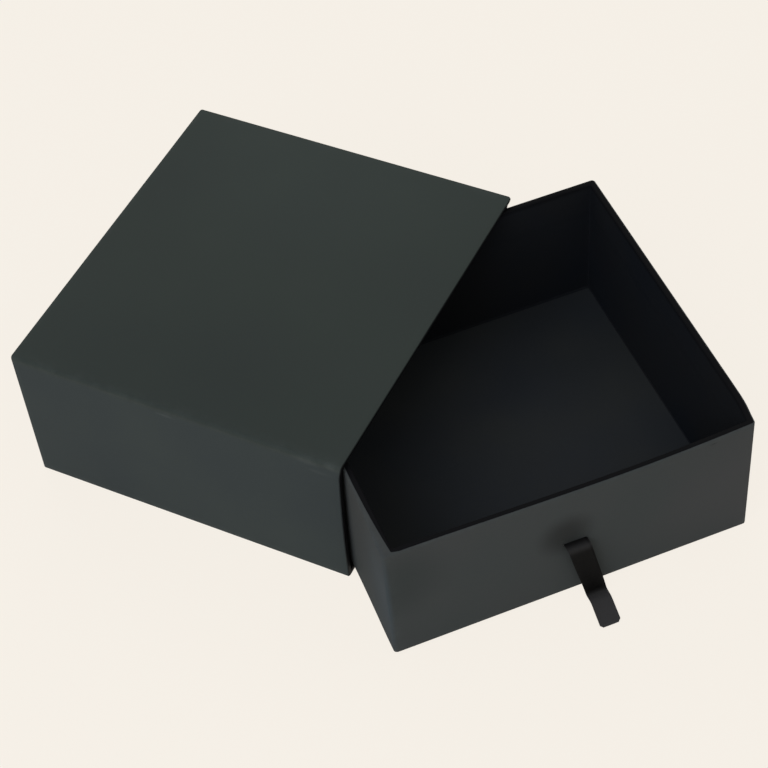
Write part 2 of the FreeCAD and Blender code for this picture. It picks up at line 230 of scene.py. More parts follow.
# The sleeve's tube is drawn with its section in X and Z and its length, from back to mouth, along -Y
TUBE = Matrix(((1, 0, 0, 0), (0, 0, -1, 0), (0, 1, 0, 0), (0, 0, 0, 1)))
DOWNWARD = Matrix.Diagonal((1, 1, -1, 1))

SLEEVE_LOW, SLEEVE_HIGH = limits("sleeve_wrap")
TRAY_LOW, TRAY_HIGH = limits("tray_wrap", TRAY)
TRAY_TOP = limits("tray_wall_lining", TRAY)[1][2]
RIM_WIDTH = limits("tray_floor_board", TRAY)[0][0] - TRAY_LOW[0]
SLOT_LEVEL = TRAY_TOP / 2
SLOT = (
    RIBBON_OFFSET - RIBBON_WIDTH / 2 - SLOT_PLAY[0], RIBBON_WIDTH / 2 + SLOT_PLAY[0],
    SLOT_LEVEL - RIBBON_THICKNESS / 2 - SLOT_PLAY[1], SLOT_LEVEL + RIBBON_THICKNESS / 2 + SLOT_PLAY[1],
)
WALL_Y = limits("tray_front_board", TRAY)[1][1] + PAPER


# Meshes

def spread(start, end, step, extra=()):
    """Even values strictly between two limits; one within a third of a step of an extra one gives way."""
    count = max(2, round(abs(end - start) / step))
    values = list(np.linspace(start, end, count + 1)[1:-1])
    keep = [v for v in values if all(abs(v - e) > step / 3 for e in extra)]
    return sorted(keep + list(extra), reverse=bool(end < start))


def outline(low, high, radius, across, along):
    """Points and outward directions round a rectangle whose corners are rounded.

    across and along hold the places of the points on its straight sides, the same at every inset."""
    quarter = np.linspace(0, math.pi / 2, FOLD_STEPS + 1)
    centres = [
        (high[0] - radius, low[1] + radius), (high[0] - radius, high[1] - radius),
        (low[0] + radius, high[1] - radius), (low[0] + radius, low[1] + radius),
    ]
    sides = [
        [(x, low[1]) for x in across], [(high[0], y) for y in along],
        [(x, high[1]) for x in reversed(across)], [(low[0], y) for y in reversed(along)],
    ]
    points, outward = [], []
    for side, (straight, centre) in enumerate(zip(sides, centres)):
        facing = (side - 1) * math.pi / 2
        points += straight
        outward += [(math.cos(facing), math.sin(facing))] * len(straight)
        for turn in facing + quarter:
            points.append((centre[0] + radius * math.cos(turn), centre[1] + radius * math.sin(turn)))
            outward.append((math.cos(turn), math.sin(turn)))
    return np.array(points), np.array(outward)


def rotated(vector, angle):
    """A flat vector turned by an angle."""
    cosine, sine = math.cos(angle), math.sin(angle)
    return np.array([cosine * vector[0] - sine * vector[1], sine * vector[0] + cosine * vector[1]])


def run_along(points):
    """Each point's distance from the first, along the line that the points draw."""
    return np.concatenate([[0], np.cumsum(np.linalg.norm(np.diff(points, axis=0), axis=1))])


def sheet_path(corners, levels=()):
    """The visible side of a folded sheet, cut across: points, the directions they face, distance to a fold.

    Each corner is (inset, level, radius). The sheet's visible side is on the left of the way it is drawn."""
    ends = [np.array(c[:2], float) for c in corners]
    ways = [(b - a) / np.linalg.norm(b - a) for a, b in zip(ends, ends[1:])]
    lefts = [np.array([-way[1], way[0]]) for way in ways]
    arcs = []
    for before, after, left, corner in zip(ways, ways[1:], lefts, corners[1:-1]):
        cross = before[0] * after[1] - before[1] * after[0]
        angle = math.asin(max(-1.0, min(1.0, cross)))
        reach = corner[2] * math.tan(abs(angle) / 2)
        start = np.array(corner[:2]) - before * reach
        centre = start + left * math.copysign(corner[2], angle)
        turns = np.linspace(0, angle, FOLD_STEPS + 1)
        arc = [centre + rotated(start - centre, t) for t in turns]
        arcs.append((start, np.array(corner[:2]) + after * reach, arc, [rotated(left, t) for t in turns]))
    points, facing = [ends[0]], [lefts[0]]
    here = ends[0]
    folds = []
    for index, way in enumerate(ways):
        until = arcs[index][0] if index < len(arcs) else ends[-1]
        run = float(np.dot(until - here, way))
        upright = abs(way[1]) > AXIS_SHARE
        inside = [abs(v - here[1]) for v in levels if upright and 0 < (v - here[1]) * way[1] < run]
        for distance in spread(0, run, CELL, sorted(inside)):
            points.append(here + way * distance)
            facing.append(lefts[index])
        if index < len(arcs):
            folds.append((len(points), len(points) + FOLD_STEPS))
            points += arcs[index][2]
            facing += arcs[index][3]
            here = arcs[index][1]
    points.append(ends[-1])
    facing.append(lefts[-1])
    points, facing = np.array(points), np.array(facing)
    run = run_along(points)
    to_fold = np.min([np.maximum(run[a] - run, run - run[b]).clip(0) for a, b in folds], axis=0)
    return points, facing, to_fold


def wandering(points, size, seed):
    """Smooth noise, from -1 to 1, at each point."""
    shift = Vector([seed * step for step in SEED_SHIFTS])
    return np.array([noise.noise(Vector(p) / size + shift) for p in points])


def glue_waves(points):
    """How far glued paper stands proud or sinks, in metres: broad waves and a finer cockle."""
    return WAVE_RISE * wandering(points, WAVE_SIZE, 1) + COCKLE_RISE * wandering(points, COCKLE_SIZE, 2)


def eased(values):
    """Values from 0 to 1, held there, with a soft start and end."""
    values = values.clip(0, 1)
    return values * values * (3 - 2 * values)


def handled_tray(points):
    """Points of the tray, in its own axes, after handling: the front leans to the left and bows out."""
    points = np.array(points, float)
    inset = points[:, 0] - TRAY_LOW[0]
    share = (inset / (TRAY_HIGH[0] - TRAY_LOW[0])).clip(0, 1)
    height = (points[:, 2] / TRAY_TOP).clip(0, 1)
    inward = points[:, 1].clip(0)
    foot, rim, reach = (a + (b - a) * share for a, b in (LEAN_FOOT, LEAN_RIM, LEAN_REACH))
    held = eased(inset / RIM_WIDTH) * np.exp(-((inset / CORNER_HOLD) ** 2))
    bow = BOW_RIM * height * np.sin(math.pi * share ** BOW_SKEW) * (1 - eased(inward / BOW_REACH))
    points[:, 0] -= (foot + rim * height) * (1 - held) * np.exp(-((inward / reach) ** 2))
    points[:, 1] -= bow
    return points


def racked_mouth(points):
    """Points of the sleeve's tube after handling: the mouth's top leads, and its sides run back below."""
    points = np.array(points, float)
    share = ((points[:, 0] - SLEEVE_LOW[0]) / (SLEEVE_HIGH[0] - SLEEVE_LOW[0])).clip(0, 1)
    height = (points[:, 1] / SLEEVE_HIGH[2]).clip(0, 1)
    inward = -SLEEVE_LOW[1] - points[:, 2]
    near = eased(1 - inward / RACK_REACH)
    top = RACK_TOP[0] + (RACK_TOP[1] - RACK_TOP[0]) * share
    over = eased((height - RACK_LEVEL) / (1 - RACK_LEVEL))
    past = (1 - (SLEEVE_HIGH[0] - points[:, 0]) / WORN_ROUND).clip(0, 1)
    worn = over * WORN_ROUND * (1 - np.sqrt(1 - past ** 2)) * eased(1 - inward / WORN_REACH)
    points[:, 2] += (top * over + RACK_FOOT * (1 - height ** 2)) * near - worn
    return points


def racked_base(points):
    """Points of the sheet under the sleeve, in its own axes, after the same handling."""
    tube = racked_mouth(np.column_stack([points[:, 0], np.zeros(len(points)), -points[:, 1]]))
    return np.column_stack([points[:, 0], -tube[:, 2], points[:, 2]])


def mitred_lap(points):
    """The tray lining's points after handling, its lap cut back on the rim beside the front left corner."""
    points = np.array(points, float)
    lap = points[:, 2] > TRAY_TOP - LAP_DEPTH
    for axis, along, depth, run in ((0, 1, MITRE_SIDE, MITRE_RUN[0]), (1, 0, MITRE_FRONT, MITRE_RUN[1])):
        inset = points[:, axis] - TRAY_LOW[axis]
        far = ((points[:, along] - TRAY_LOW[along]) / run).clip(0, 1)
        cut = depth * (RIM_WIDTH - LAP_MARGIN) * (1 - far)
        share = 1 - ((inset - LAP_MARGIN) / (RIM_WIDTH - LAP_MARGIN)).clip(0, 1)
        points[:, axis] += np.where(lap & (inset < RIM_WIDTH), cut * share, 0)
    return handled_tray(points)


def placed(name, data):
    """A new object that holds the data, in the scene."""
    thing = bpy.data.objects.new(name, data)
    bpy.context.scene.collection.objects.link(thing)
    return thing


def new_piece(name, points, faces, place, material, marks=None, smooth_angle=SMOOTH_ANGLE):
    """A mesh object from points in the given axes, its faces turned outward and its folds shaded smooth.

    marks holds named shares for the points, which the material reads: where it is worn, and where it is
    black."""
    mesh = bpy.data.meshes.new(name)
    mesh.from_pydata([tuple(p) for p in points], [], faces)
    for key, values in (marks or {}).items():
        layer = mesh.attributes.new(key, "FLOAT", "POINT")
        layer.data.foreach_set("value", np.asarray(values, np.float32))
    work = bmesh.new()
    work.from_mesh(mesh)
    bmesh.ops.recalc_face_normals(work, faces=work.faces)
    work.to_mesh(mesh)
    work.free()
    mesh.transform(place)
    mesh.polygons.foreach_set("use_smooth", [True] * len(mesh.polygons))
    mesh.set_sharp_from_angle(angle=math.radians(smooth_angle))
    mesh.materials.append(material)
    return placed(name, mesh)


def two_sided(shown, hidden, closed, holes=()):
    """The faces of a sheet from its two sides, each a grid of rows and columns, joined round every border.

    closed says that the columns run round to the first again; holes are (row, column) cells left out."""
    rows, columns = shown.shape[:2]
    cells = columns if closed else columns - 1
    size = rows * columns

    def at(side, row, column):
        return side * size + row * columns + column % columns

    gone = set(holes)
    faces = []
    for row in range(rows - 1):
        for column in range(cells):
            if (row, column) in gone:
                continue
            for side in (0, 1):
                faces.append((
                    at(side, row, column), at(side, row, column + 1),
                    at(side, row + 1, column + 1), at(side, row + 1, column),
                ))
            borders = (
                ((row - 1, column), (row, column), (row, column + 1)),
                ((row + 1, column), (row + 1, column), (row + 1, column + 1)),
                ((row, column - 1), (row, column), (row + 1, column)),
                ((row, column + 1), (row, column + 1), (row + 1, column + 1)),
            )
            for (to_row, to_column), start, end in borders:
                beside = (to_row, to_column % cells if closed else to_column)
                outside = not 0 <= to_row < rows - 1 or not (closed or 0 <= to_column < cells)
                if outside or beside in gone:
                    faces.append((at(0, *start), at(0, *end), at(1, *end), at(1, *start)))
    points = np.concatenate([shown.reshape(-1, 3), hidden.reshape(-1, 3)])
    return points, faces


def slot_cells(shown, ways, middle, hole):
    """The cells that a hole takes out of a sheet, on the side of the middle that faces -Y."""
    x = (shown[:-1, :, 0] + np.roll(shown, -1, axis=1)[:-1, :, 0]) / 2
    z = (shown[:-1, :, 2] + shown[1:, :, 2]) / 2
    front = (shown[:-1, :, 1] < middle) & (np.abs(ways[:-1, :, 1]) > AXIS_SHARE)
    taken = front & (hole[0] < x) & (x < hole[1]) & (hole[2] < z) & (z < hole[3])
    return [tuple(cell) for cell in np.argwhere(taken)]


def fold_wear(ring, straights, to_fold):
    """How far a folded sheet is rubbed at each point: most on its folds and on the corners of its ring."""
    corner = np.concatenate([np.arange(straight + FOLD_STEPS + 1) >= straight for straight in straights])
    to_corner = np.array([np.linalg.norm(ring[corner] - p, axis=1).min() for p in ring])
    near = np.minimum(to_fold[:, None], to_corner[None, :])
    return np.exp(-((near / WEAR_REACH) ** 2))


def folded_sheet(name, box, path, material, shape, blackening=None):
    """A folded sheet of paper carried round a box, as one closed mesh.

    box is (low corner, high corner, corner radius, axes, hole), and hole is (low x, high x, low level, high
    level), cut through the side that faces -Y, or empty. shape moves the finished points, as handling bends
    them. The last argument gives the black share of each point of the path, from the path and the ways it
    faces."""
    low, high, radius, place, hole = box
    widths, levels = hole[:2], hole[2:]
    line, facing, to_fold = sheet_path(path, levels)
    margin = radius + CELL / 2
    across = spread(low[0] + margin, high[0] - margin, CELL, widths)
    along = spread(low[1] + margin, high[1] - margin, CELL)
    layers, ways = ([], []), []
    for (inset, level), (out, rise) in zip(line, facing):
        for side in (0, 1):
            inset_here = inset + side * PAPER * out
            points, outward = outline(
                (low[0] + inset_here, low[1] + inset_here), (high[0] - inset_here, high[1] - inset_here),
                max(radius - inset_here, TIGHT_FOLD), across, along,
            )
            layers[side].append(np.column_stack([points, np.full(len(points), level - side * PAPER * rise)]))
        ways.append(np.column_stack([-out * outward, np.full(len(points), rise)]))
    shown, hidden, ways = np.array(layers[0]), np.array(layers[1]), np.array(ways)
    rows, columns = shown.shape[:2]
    from_edge = np.minimum(np.arange(rows), np.arange(rows)[::-1])
    fade = from_edge.clip(0, WAVE_EDGE_ROWS) / WAVE_EDGE_ROWS
    swell = glue_waves(shown.reshape(-1, 3)).reshape(rows, columns) * fade[:, None]
    shown += ways * swell[:, :, None]
    hidden += ways * (swell * HIDDEN_WAVES)[:, :, None]

    holes = slot_cells(shown, ways, (low[1] + high[1]) / 2, hole) if hole else ()
    points, faces = two_sided(shown, hidden, True, holes)
    wear = fold_wear(shown[rows // 2], (len(across), len(along)) * 2, to_fold)
    marks = {}
    if blackening:
        blackened = blackening(line, facing)
        beside = np.exp(-((np.abs(line[:, 1] - line[blackened > BLACK_FROM, 1].max()) / BLACK_CLEAR) ** 2))
        wear *= (1 - beside)[:, None]
        marks["blackened"] = np.tile(np.repeat(blackened, columns), 2)
    marks["wear"] = np.tile(wear.ravel(), 2)
    return new_piece(name, shape(points), faces, place, material, marks)


def flat_sheet(name, low, high, thickness, place, material, shape=None):
    """A cut sheet that lies flat between the corners low and high, its underside at the level of low."""
    xs = [low[0], *spread(low[0], high[0], CELL), high[0]]
    ys = [low[1], *spread(low[1], high[1], CELL), high[1]]
    under = np.array([[(x, y, low[2]) for x in xs] for y in ys])
    flat = under.reshape(-1, 3)
    insets = [flat[:, 0] - low[0], high[0] - flat[:, 0], flat[:, 1] - low[1], high[1] - flat[:, 1]]
    edge = np.exp(-((np.minimum.reduce(insets) / CUT_REACH) ** 2))
    over = flat.copy()
    over[:, 2] += thickness + glue_waves(flat).clip(-WAVE_DIP * thickness, thickness) * (1 - edge)
    points, faces = two_sided(under, over.reshape(under.shape), False)
    if shape:
        points = shape(points)
    return new_piece(name, points, faces, place, material, {"wear": np.tile(edge * CUT_WEAR, 2)})


def handled_copy(name, node, place, shape, cuts):
    """A copy of a node, cut finely enough to follow the papers round it; cuts are (way, level) planes."""
    mesh = nodes[node].data.copy()
    mesh.name = name
    mesh.transform(place.inverted())
    work = bmesh.new()
    work.from_mesh(mesh)
    for normal, level in cuts:
        parts = work.verts[:] + work.edges[:] + work.faces[:]
        bmesh.ops.bisect_plane(work, geom=parts, plane_co=Vector(normal) * level, plane_no=normal)
    for vertex, moved in zip(work.verts, shape(np.array([v.co for v in work.verts]))):
        vertex.co = Vector(moved)
    work.to_mesh(mesh)
    work.free()
    mesh.transform(place)
    return placed(name, mesh)


def smooth_line(poles):
    """Points along the smooth curve that a list of poles draws."""
    curve = bpy.data.curves.new("ribbon_line", "CURVE")
    curve.dimensions, curve.resolution_u = "3D", LINE_STEPS
    spline = curve.splines.new("NURBS")
    spline.points.add(len(poles) - 1)
    for point, pole in zip(spline.points, poles):
        point.co = (*pole, 1.0)
    spline.order_u, spline.use_endpoint_u = 4, True
    holder = bpy.data.objects.new("ribbon_line", curve)
    mesh = bpy.data.meshes.new_from_object(holder)
    points = np.array([v.co for v in mesh.vertices], float)
    bpy.data.objects.remove(holder)
    bpy.data.curves.remove(curve)
    bpy.data.meshes.remove(mesh)
    return points


# Materials

def node_tree(name):
    """A new material with one shader, its tree and that shader."""
    material = bpy.data.materials.new(name)
    material.use_nodes = True
    tree = material.node_tree
    return material, tree, tree.nodes["Principled BSDF"]


def plugged(tree, socket, value):
    """A socket joined to an output, or set to a value."""
    if isinstance(value, bpy.types.NodeSocket):
        tree.links.new(value, socket)
    else:
        socket.default_value = value


def add(tree, kind, **values):
    """A node with its settings made, and its named inputs joined to outputs or set to values."""
    node = tree.nodes.new(kind)
    for key, value in values.items():
        if key in node.inputs:
            plugged(tree, node.inputs[key], value)
        else:
            setattr(node, key, value)
    return node


def noise_node(tree, place, size, detail, roughness=0.55, kind="FBM", distortion=0.0):
    """Noise whose features are about one size, in metres."""
    return add(
        tree, "ShaderNodeTexNoise", noise_type=kind, Vector=place, Scale=1 / size, Detail=detail,
        Roughness=roughness, Distortion=distortion,
    ).outputs["Fac"]


def ramp(tree, source, places, tones):
    """A colour ramp over a source, from one tone at the first place to another at the second."""
    node = add(tree, "ShaderNodeValToRGB", Fac=source)
    for element, place, tone in zip(node.color_ramp.elements, places, tones):
        element.position, element.color = place, tone
    return node.outputs["Color"]


def mixed(tree, share, first, second, kind="MIX"):
    """Two colours mixed by a share, each an output or a colour; a single value is read as grey."""
    node = add(tree, "ShaderNodeMix", data_type="RGBA", blend_type=kind, Factor=share)
    colours = [socket for socket in node.inputs if socket.type == "RGBA"]
    plugged(tree, colours[0], first)
    plugged(tree, colours[1], second)
    return next(socket for socket in node.outputs if socket.type == "RGBA")


def sums(tree, operation, first, second):
    """One step of arithmetic on two values, each an output or a number."""
    node = add(tree, "ShaderNodeMath", operation=operation)
    plugged(tree, node.inputs[0], first)
    plugged(tree, node.inputs[1], second)
    return node.outputs[0]


def spanned(tree, source, low, high, to_low, to_high, kind="LINEAR"):
    """A source's range carried to another, and held there."""
    ends = {"From Min": low, "From Max": high, "To Min": to_low, "To Max": to_high}
    node = add(tree, "ShaderNodeMapRange", clamp=True, interpolation_type=kind, Value=source, **ends)
    return node.outputs["Result"]


def object_place(tree):
    """Places on the piece, which are the part's own."""
    return add(tree, "ShaderNodeTexCoord").outputs["Object"]


def axis_of(tree, vector, axis):
    """One axis of a vector."""
    return add(tree, "ShaderNodeSeparateXYZ", Vector=vector).outputs[axis]


def marked(tree, name):
    """The share that a piece's points carry under a name, 0 where they carry none."""
    return add(tree, "ShaderNodeAttribute", attribute_name=name).outputs["Fac"]


def surfaced(tree, shader, tone, roughness, specular):
    """A shader's colour and roughness from outputs, and how much light glances off it."""
    tree.links.new(tone, shader.inputs["Base Color"])
    tree.links.new(roughness, shader.inputs["Roughness"])
    shader.inputs["Specular IOR Level"].default_value = specular


def bumped(tree, shader, height, strength, distance):
    """Relief on a shader from a height."""
    bump = add(tree, "ShaderNodeBump", Strength=strength, Distance=distance, Height=height)
    tree.links.new(bump.outputs["Normal"], shader.inputs["Normal"])


def spot(tree, place, middle, turn, size, strength):
    """A soft spot: full strength at its middle and 0 outside an ellipsoid that is turned and sized."""
    local = add(
        tree, "ShaderNodeMapping", vector_type="TEXTURE", Vector=place, Location=middle, Rotation=turn,
        Scale=size,
    ).outputs["Vector"]
    length = add(tree, "ShaderNodeVectorMath", operation="LENGTH", Vector=local).outputs["Value"]
    return sums(tree, "MULTIPLY", spanned(tree, length, SPOT_CORE, 1.0, 1.0, 0.0, "SMOOTHSTEP"), strength)


def paper(
    name, tones, fibre, rubbed, rough=(0.62, 0.74), specular=0.16, wear=0.14,
    below=None, spots=(), painted_light=(),
):
    """Dyed paper: a slow change of tone, fine grain and short fibres, paler where the folds are rubbed.

    below is (level, level, colour share): what the paper is tinted with from one height down to another.
    Both kinds of marks are (middle, turn, size, colour, strength): spots are rubs and marks, broken up; the
    smooth ones are painted light and shade."""
    material, tree, shader = node_tree(name)
    place = object_place(tree)
    broad = noise_node(tree, place, TINT_SIZE, detail=2.0)
    tone = ramp(tree, broad, TINT_RANGE, tones)
    if below:
        down = spanned(tree, axis_of(tree, place, "Z"), below[1], below[0], 1.0, 0.0, "SMOOTHSTEP")
        tone = mixed(tree, down, tone, mixed(tree, 1.0, tone, below[2], "MULTIPLY"))
    fine = noise_node(tree, place, GRAIN_SIZE, detail=5.0, roughness=0.62)
    tone = mixed(tree, 1.0, tone, spanned(tree, fine, *NOISE_RANGE, *GRAIN_SHADE), "MULTIPLY")
    hair = noise_node(tree, place, HAIR_SIZE, detail=1.5, kind="RIDGED_MULTIFRACTAL", distortion=0.6)
    tone = mixed(tree, spanned(tree, hair, *HAIR_SHARE), tone, fibre)
    patches = noise_node(tree, place, PATCH_SIZE, detail=4.0, roughness=0.7)
    rub = sums(tree, "MULTIPLY", marked(tree, "wear"), spanned(tree, patches, *RUB_RANGE, 0.0, wear))
    tone = mixed(tree, rub, tone, rubbed)
    # The smooth marks: painted light and shade, laid where light and shadow fall
    for *where, tint, strength in painted_light:
        tone = mixed(tree, spot(tree, place, *where, strength), tone, tint)
    for *where, tint, strength in spots:
        share = spot(tree, place, *where, strength)
        broken = sums(tree, "MULTIPLY", share, spanned(tree, patches, *SPOT_BREAKS))
        tone = mixed(tree, broken, tone, tint)
    # Black round the sleeve's mouth edge and on the tray's rim lap; on the lap it is partly a painted shade
    tone = mixed(tree, marked(tree, "blackened"), tone, BLACK_TONE)
    surfaced(tree, shader, tone, spanned(tree, broad, *NOISE_RANGE, *rough), specular)
    relief = sums(tree, "ADD", fine, sums(tree, "MULTIPLY", hair, HAIR_RELIEF))
    bumped(tree, shader, relief, *PAPER_RELIEF)
    return material


def greyboard():
    """Recycled board: grey-brown, with flecks and a soft cut edge."""
    material, tree, shader = node_tree("greyboard")
    place = object_place(tree)
    pulp = noise_node(tree, place, PULP_SIZE, detail=4.0)
    flecks = spanned(tree, noise_node(tree, place, FLECK_SIZE, detail=2.0), *FLECK_SHARE)
    tone = mixed(tree, flecks, ramp(tree, pulp, NOISE_RANGE, BOARD_TONES), BOARD_FLECK)
    surfaced(tree, shader, tone, spanned(tree, pulp, *NOISE_RANGE, *BOARD_ROUGH), BOARD_SPECULAR)
    bumped(tree, shader, pulp, *BOARD_RELIEF)
    return material


def gummed_tape():
    """Gummed kraft tape for the board's edges."""
    material, tree, shader = node_tree("gummed_tape")
    kraft = noise_node(tree, object_place(tree), KRAFT_SIZE, detail=5.0, distortion=0.8)
    tone = ramp(tree, kraft, NOISE_RANGE, TAPE_TONES)
    surfaced(tree, shader, tone, spanned(tree, kraft, *NOISE_RANGE, *TAPE_ROUGH), TAPE_SPECULAR)
    bumped(tree, shader, kraft, *TAPE_RELIEF)
    return material


def bands(tree, vector, way, period, distortion=0.0):
    """Even bands across one way of a map, a period apart; at scale 1 the node's own period is pi / 10."""
    return add(
        tree, "ShaderNodeTexWave", wave_type="BANDS", bands_direction=way, wave_profile="SIN", Vector=vector,
        Scale=math.pi / 10 / period, Distortion=distortion,
    ).outputs["Fac"]


def ribbon_cloth():
    """Black satin ribbon: fine ribs, long floats and woven edges, from the strip's own map in metres."""
    material, tree, shader = node_tree("ribbon_cloth")
    strip = add(tree, "ShaderNodeUVMap", uv_map="strip").outputs["UV"]
    ribs = bands(tree, strip, "Y", RIB_PERIOD, RIB_WOBBLE)
    weave = sums(tree, "ADD", ribs, bands(tree, strip, "X", FLOAT_PERIOD))
    from_middle = sums(tree, "SUBTRACT", axis_of(tree, strip, "X"), RIBBON_WIDTH / 2)
    fade = [RIBBON_WIDTH / 2 - inset for inset in SELVAGE_FADE]
    selvage = spanned(tree, sums(tree, "ABSOLUTE", from_middle, 0.0), *fade, 0.0, 1.0)
    tone = ramp(tree, spanned(tree, weave, *WEAVE_RANGE, 0.0, 1.0), WEAVE_STOPS, RIBBON_TONES)
    tone = mixed(tree, sums(tree, "MULTIPLY", selvage, SELVAGE_SHARE), tone, SELVAGE_TONE)
    # Paler where dust and the painted sheen and highlight lie
    tone = mixed(tree, sums(tree, "MULTIPLY", marked(tree, "dust_and_sheen"), DUST_AND_SHEEN_SHARE), tone, DUST_AND_SHEEN_TONE)
    surfaced(tree, shader, tone, spanned(tree, weave, *WEAVE_RANGE, *RIBBON_ROUGH), RIBBON_SPECULAR)
    relief = sums(tree, "ADD", weave, sums(tree, "MULTIPLY", selvage, SELVAGE_RELIEF))
    bumped(tree, shader, relief, *RIBBON_RELIEF)
    return material


def metres(x, y, z):
    """A place or a size, in millimetres, in metres."""
    return (x * MM, y * MM, z * MM)


def on_tray(x, y, z):
    """A place in the tray's own frame, in millimetres, as a place in the part's frame."""
    return tuple(TRAY @ Vector(metres(x, y, z)))


RUBBED = colour(96, 101, 98)
# The second tone is a painted shadow of the ribbon round its root on the front
DARK_MARK, ROOT_SHADOW_TONE = colour(30, 31, 31), colour(38, 39, 38)
UNTURNED, ALONG_FOLD = (0.0, 0.0, 0.0), (0.0, 0.0, math.radians(90))
ALONG_FRONT = tuple(TRAY.to_euler())
SLEEVE_SPOTS = [
    (metres(-90, 3, 77.5), ALONG_FOLD, metres(7, 1.8, 1.2), RUBBED, 0.24),
    (metres(-90, -68, 79.5), ALONG_FOLD, metres(10, 2.8, 2.8), RUBBED, 0.17),
    (metres(-90, -74, 74.5), ALONG_FOLD, metres(8, 2, 1.6), RUBBED, 0.16),
    (metres(-89.5, -81, 80.5), ALONG_FOLD, metres(7, 3, 2.8), RUBBED, 0.18),
    (metres(-89, 20, 81), ALONG_FOLD, metres(9, 1.6, 1.2), RUBBED, 0.14),
]
# Painted light and shade on the sleeve: the right of its top is painted lighter and the left darker, as
# light from the right falls
SLEEVE_PAINTED_LIGHT = [
    (metres(95, 10, 82), UNTURNED, metres(110, 150, 20), colour(66, 74, 70), 0.34),
    (metres(-88, 0, 82.5), UNTURNED, metres(90, 130, 2.6), colour(42, 48, 46), 0.3),
]
TRAY_SPOTS = [
    (on_tray(43.5, 0, 69.5), ALONG_FRONT, metres(3.6, 2.5, 0.9), RUBBED, 0.36),
    (on_tray(64.5, -1, 71.5), ALONG_FRONT, metres(2.8, 2.5, 0.7), DARK_MARK, 0.5),
    (on_tray(85.5, 0.5, 4), ALONG_FRONT, metres(2.0, 2.0, 3.0), RUBBED, 0.2),
]
# Painted light and shade on the tray: a painted shadow round the ribbon's root, the front painted lighter to
# the right and darker at its left end, and the left wall painted lighter towards its corner, where light
# from the left falls
TRAY_PAINTED_LIGHT = [
    # Painted shadow of the ribbon round its root
    (on_tray(-5.5, 0, 44.5), ALONG_FRONT, metres(17, 12, 18), ROOT_SHADOW_TONE, 0.72),
    (on_tray(100, 0, 34), ALONG_FRONT, metres(75, 30, 60), colour(78, 77, 77), 0.45),
    (on_tray(-86, 0, 52), ALONG_FRONT, metres(34, 4, 34), colour(50, 55, 53), 0.45),
    (on_tray(-91, 0, 26), ALONG_FRONT, metres(5, 60, 70), colour(69, 78, 84), 0.8),
]

SLEEVE_PAPER = paper(
    "sleeve_paper", (colour(54, 61, 56), colour(56, 62, 58)), colour(84, 90, 85), RUBBED,
    below=(81.6 * MM, 77 * MM, (0.98, 1.0, 1.14, 1.0)), spots=SLEEVE_SPOTS, painted_light=SLEEVE_PAINTED_LIGHT,
)
TRAY_PAPER = paper(
    "tray_paper", (colour(65, 69, 68), colour(69, 71, 70)), colour(92, 94, 94), RUBBED,
    rough=(0.74, 0.84), specular=0.1, spots=TRAY_SPOTS, painted_light=TRAY_PAINTED_LIGHT,
)
COVER_PAPER = paper("cover_paper", (colour(50, 56, 53), colour(55, 59, 58)), colour(80, 84, 81), RUBBED)
LINING_PAPER = paper(
    "lining_paper", (colour(27, 30, 35), colour(31, 32, 34)), colour(40, 42, 45), colour(50, 51, 52),
    specular=0.1, wear=0.08,
)
FLOOR_PAPER = paper(
    "floor_paper", (colour(42, 45, 48), colour(47, 49, 49)), colour(60, 62, 64), colour(66, 68, 69),
    wear=0.08,
)
BOARD = greyboard()
TAPE = gummed_tape()
RIBBON = ribbon_cloth()


# Pieces

def dress(piece, body, replaced):
    """The piece rides on a body and stands for the node given, which is hidden."""
    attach(piece, body)
    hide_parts(replaced)


def dress_base(name, body, node, place, handled):
    """The plain sheet under a body, which follows the body's handling."""
    low, high = limits(node, place)
    low[2] = -PAPER
    sheet = flat_sheet(name, low, high, BASE_PAPER, place @ DOWNWARD, COVER_PAPER, handled)
    dress(sheet, body, node)


def mouth_black(line, facing):
    """The black share of the sleeve's paper: where it turns over the mouth's edge, and inside."""
    return eased(np.maximum(facing[:, 1] * EDGE_BLACK - EDGE_BLACK_FROM, facing[:, 0] * INNER_BLACK))


def dress_sleeve():
    """Wrap, lining, and the sheets on the back and the base."""
    bay_low, bay_high = limits("sleeve_lining")
    low, high = SLEEVE_LOW[[0, 2]], SLEEVE_HIGH[[0, 2]]
    box = (low, high, SLEEVE_FOLD, TUBE, ())
    mouth, back = -SLEEVE_LOW[1], -SLEEVE_HIGH[1]
    well = bay_low[0] - SLEEVE_LOW[0] + PAPER
    wrap_path = [
        (TURN_IN, back, 0), (0, back, SLEEVE_EDGE), (0, mouth, MOUTH_FOLD), (well, mouth, INNER_FOLD),
        (well, mouth - TURN_IN, 0),
    ]
    wrap = folded_sheet("sleeve_wrap_paper", box, wrap_path, SLEEVE_PAPER, racked_mouth, mouth_black)
    dress(wrap, "sleeve", "sleeve_wrap")

    end = PAPER - bay_high[1]
    lining_path = [(well, mouth - TURN_IN - SEAM, 0), (well, end, TIGHT_FOLD), (well + END_FOOT, end, 0)]
    lining = folded_sheet("sleeve_lining_paper", box, lining_path, LINING_PAPER, racked_mouth)
    dress(lining, "sleeve", "sleeve_lining")

    inset = well + END_FOOT - END_LAP
    end_low = (*(low + inset), end + SEAM)
    end_sheet = flat_sheet("sleeve_lining_end", end_low, high - inset, PAPER, TUBE, LINING_PAPER)
    dress(end_sheet, "sleeve", "sleeve_lining")

    low, high = limits("sleeve_back_sheet")
    back_low = (low[0], low[2], high[1] - PAPER)
    back_sheet = flat_sheet("sleeve_back_paper", back_low, high[[0, 2]], PAPER, TUBE @ DOWNWARD, COVER_PAPER)
    dress(back_sheet, "sleeve", "sleeve_back_sheet")
    dress_base("sleeve_base_paper", "sleeve", "sleeve_base_sheet", SQUARE, racked_base)


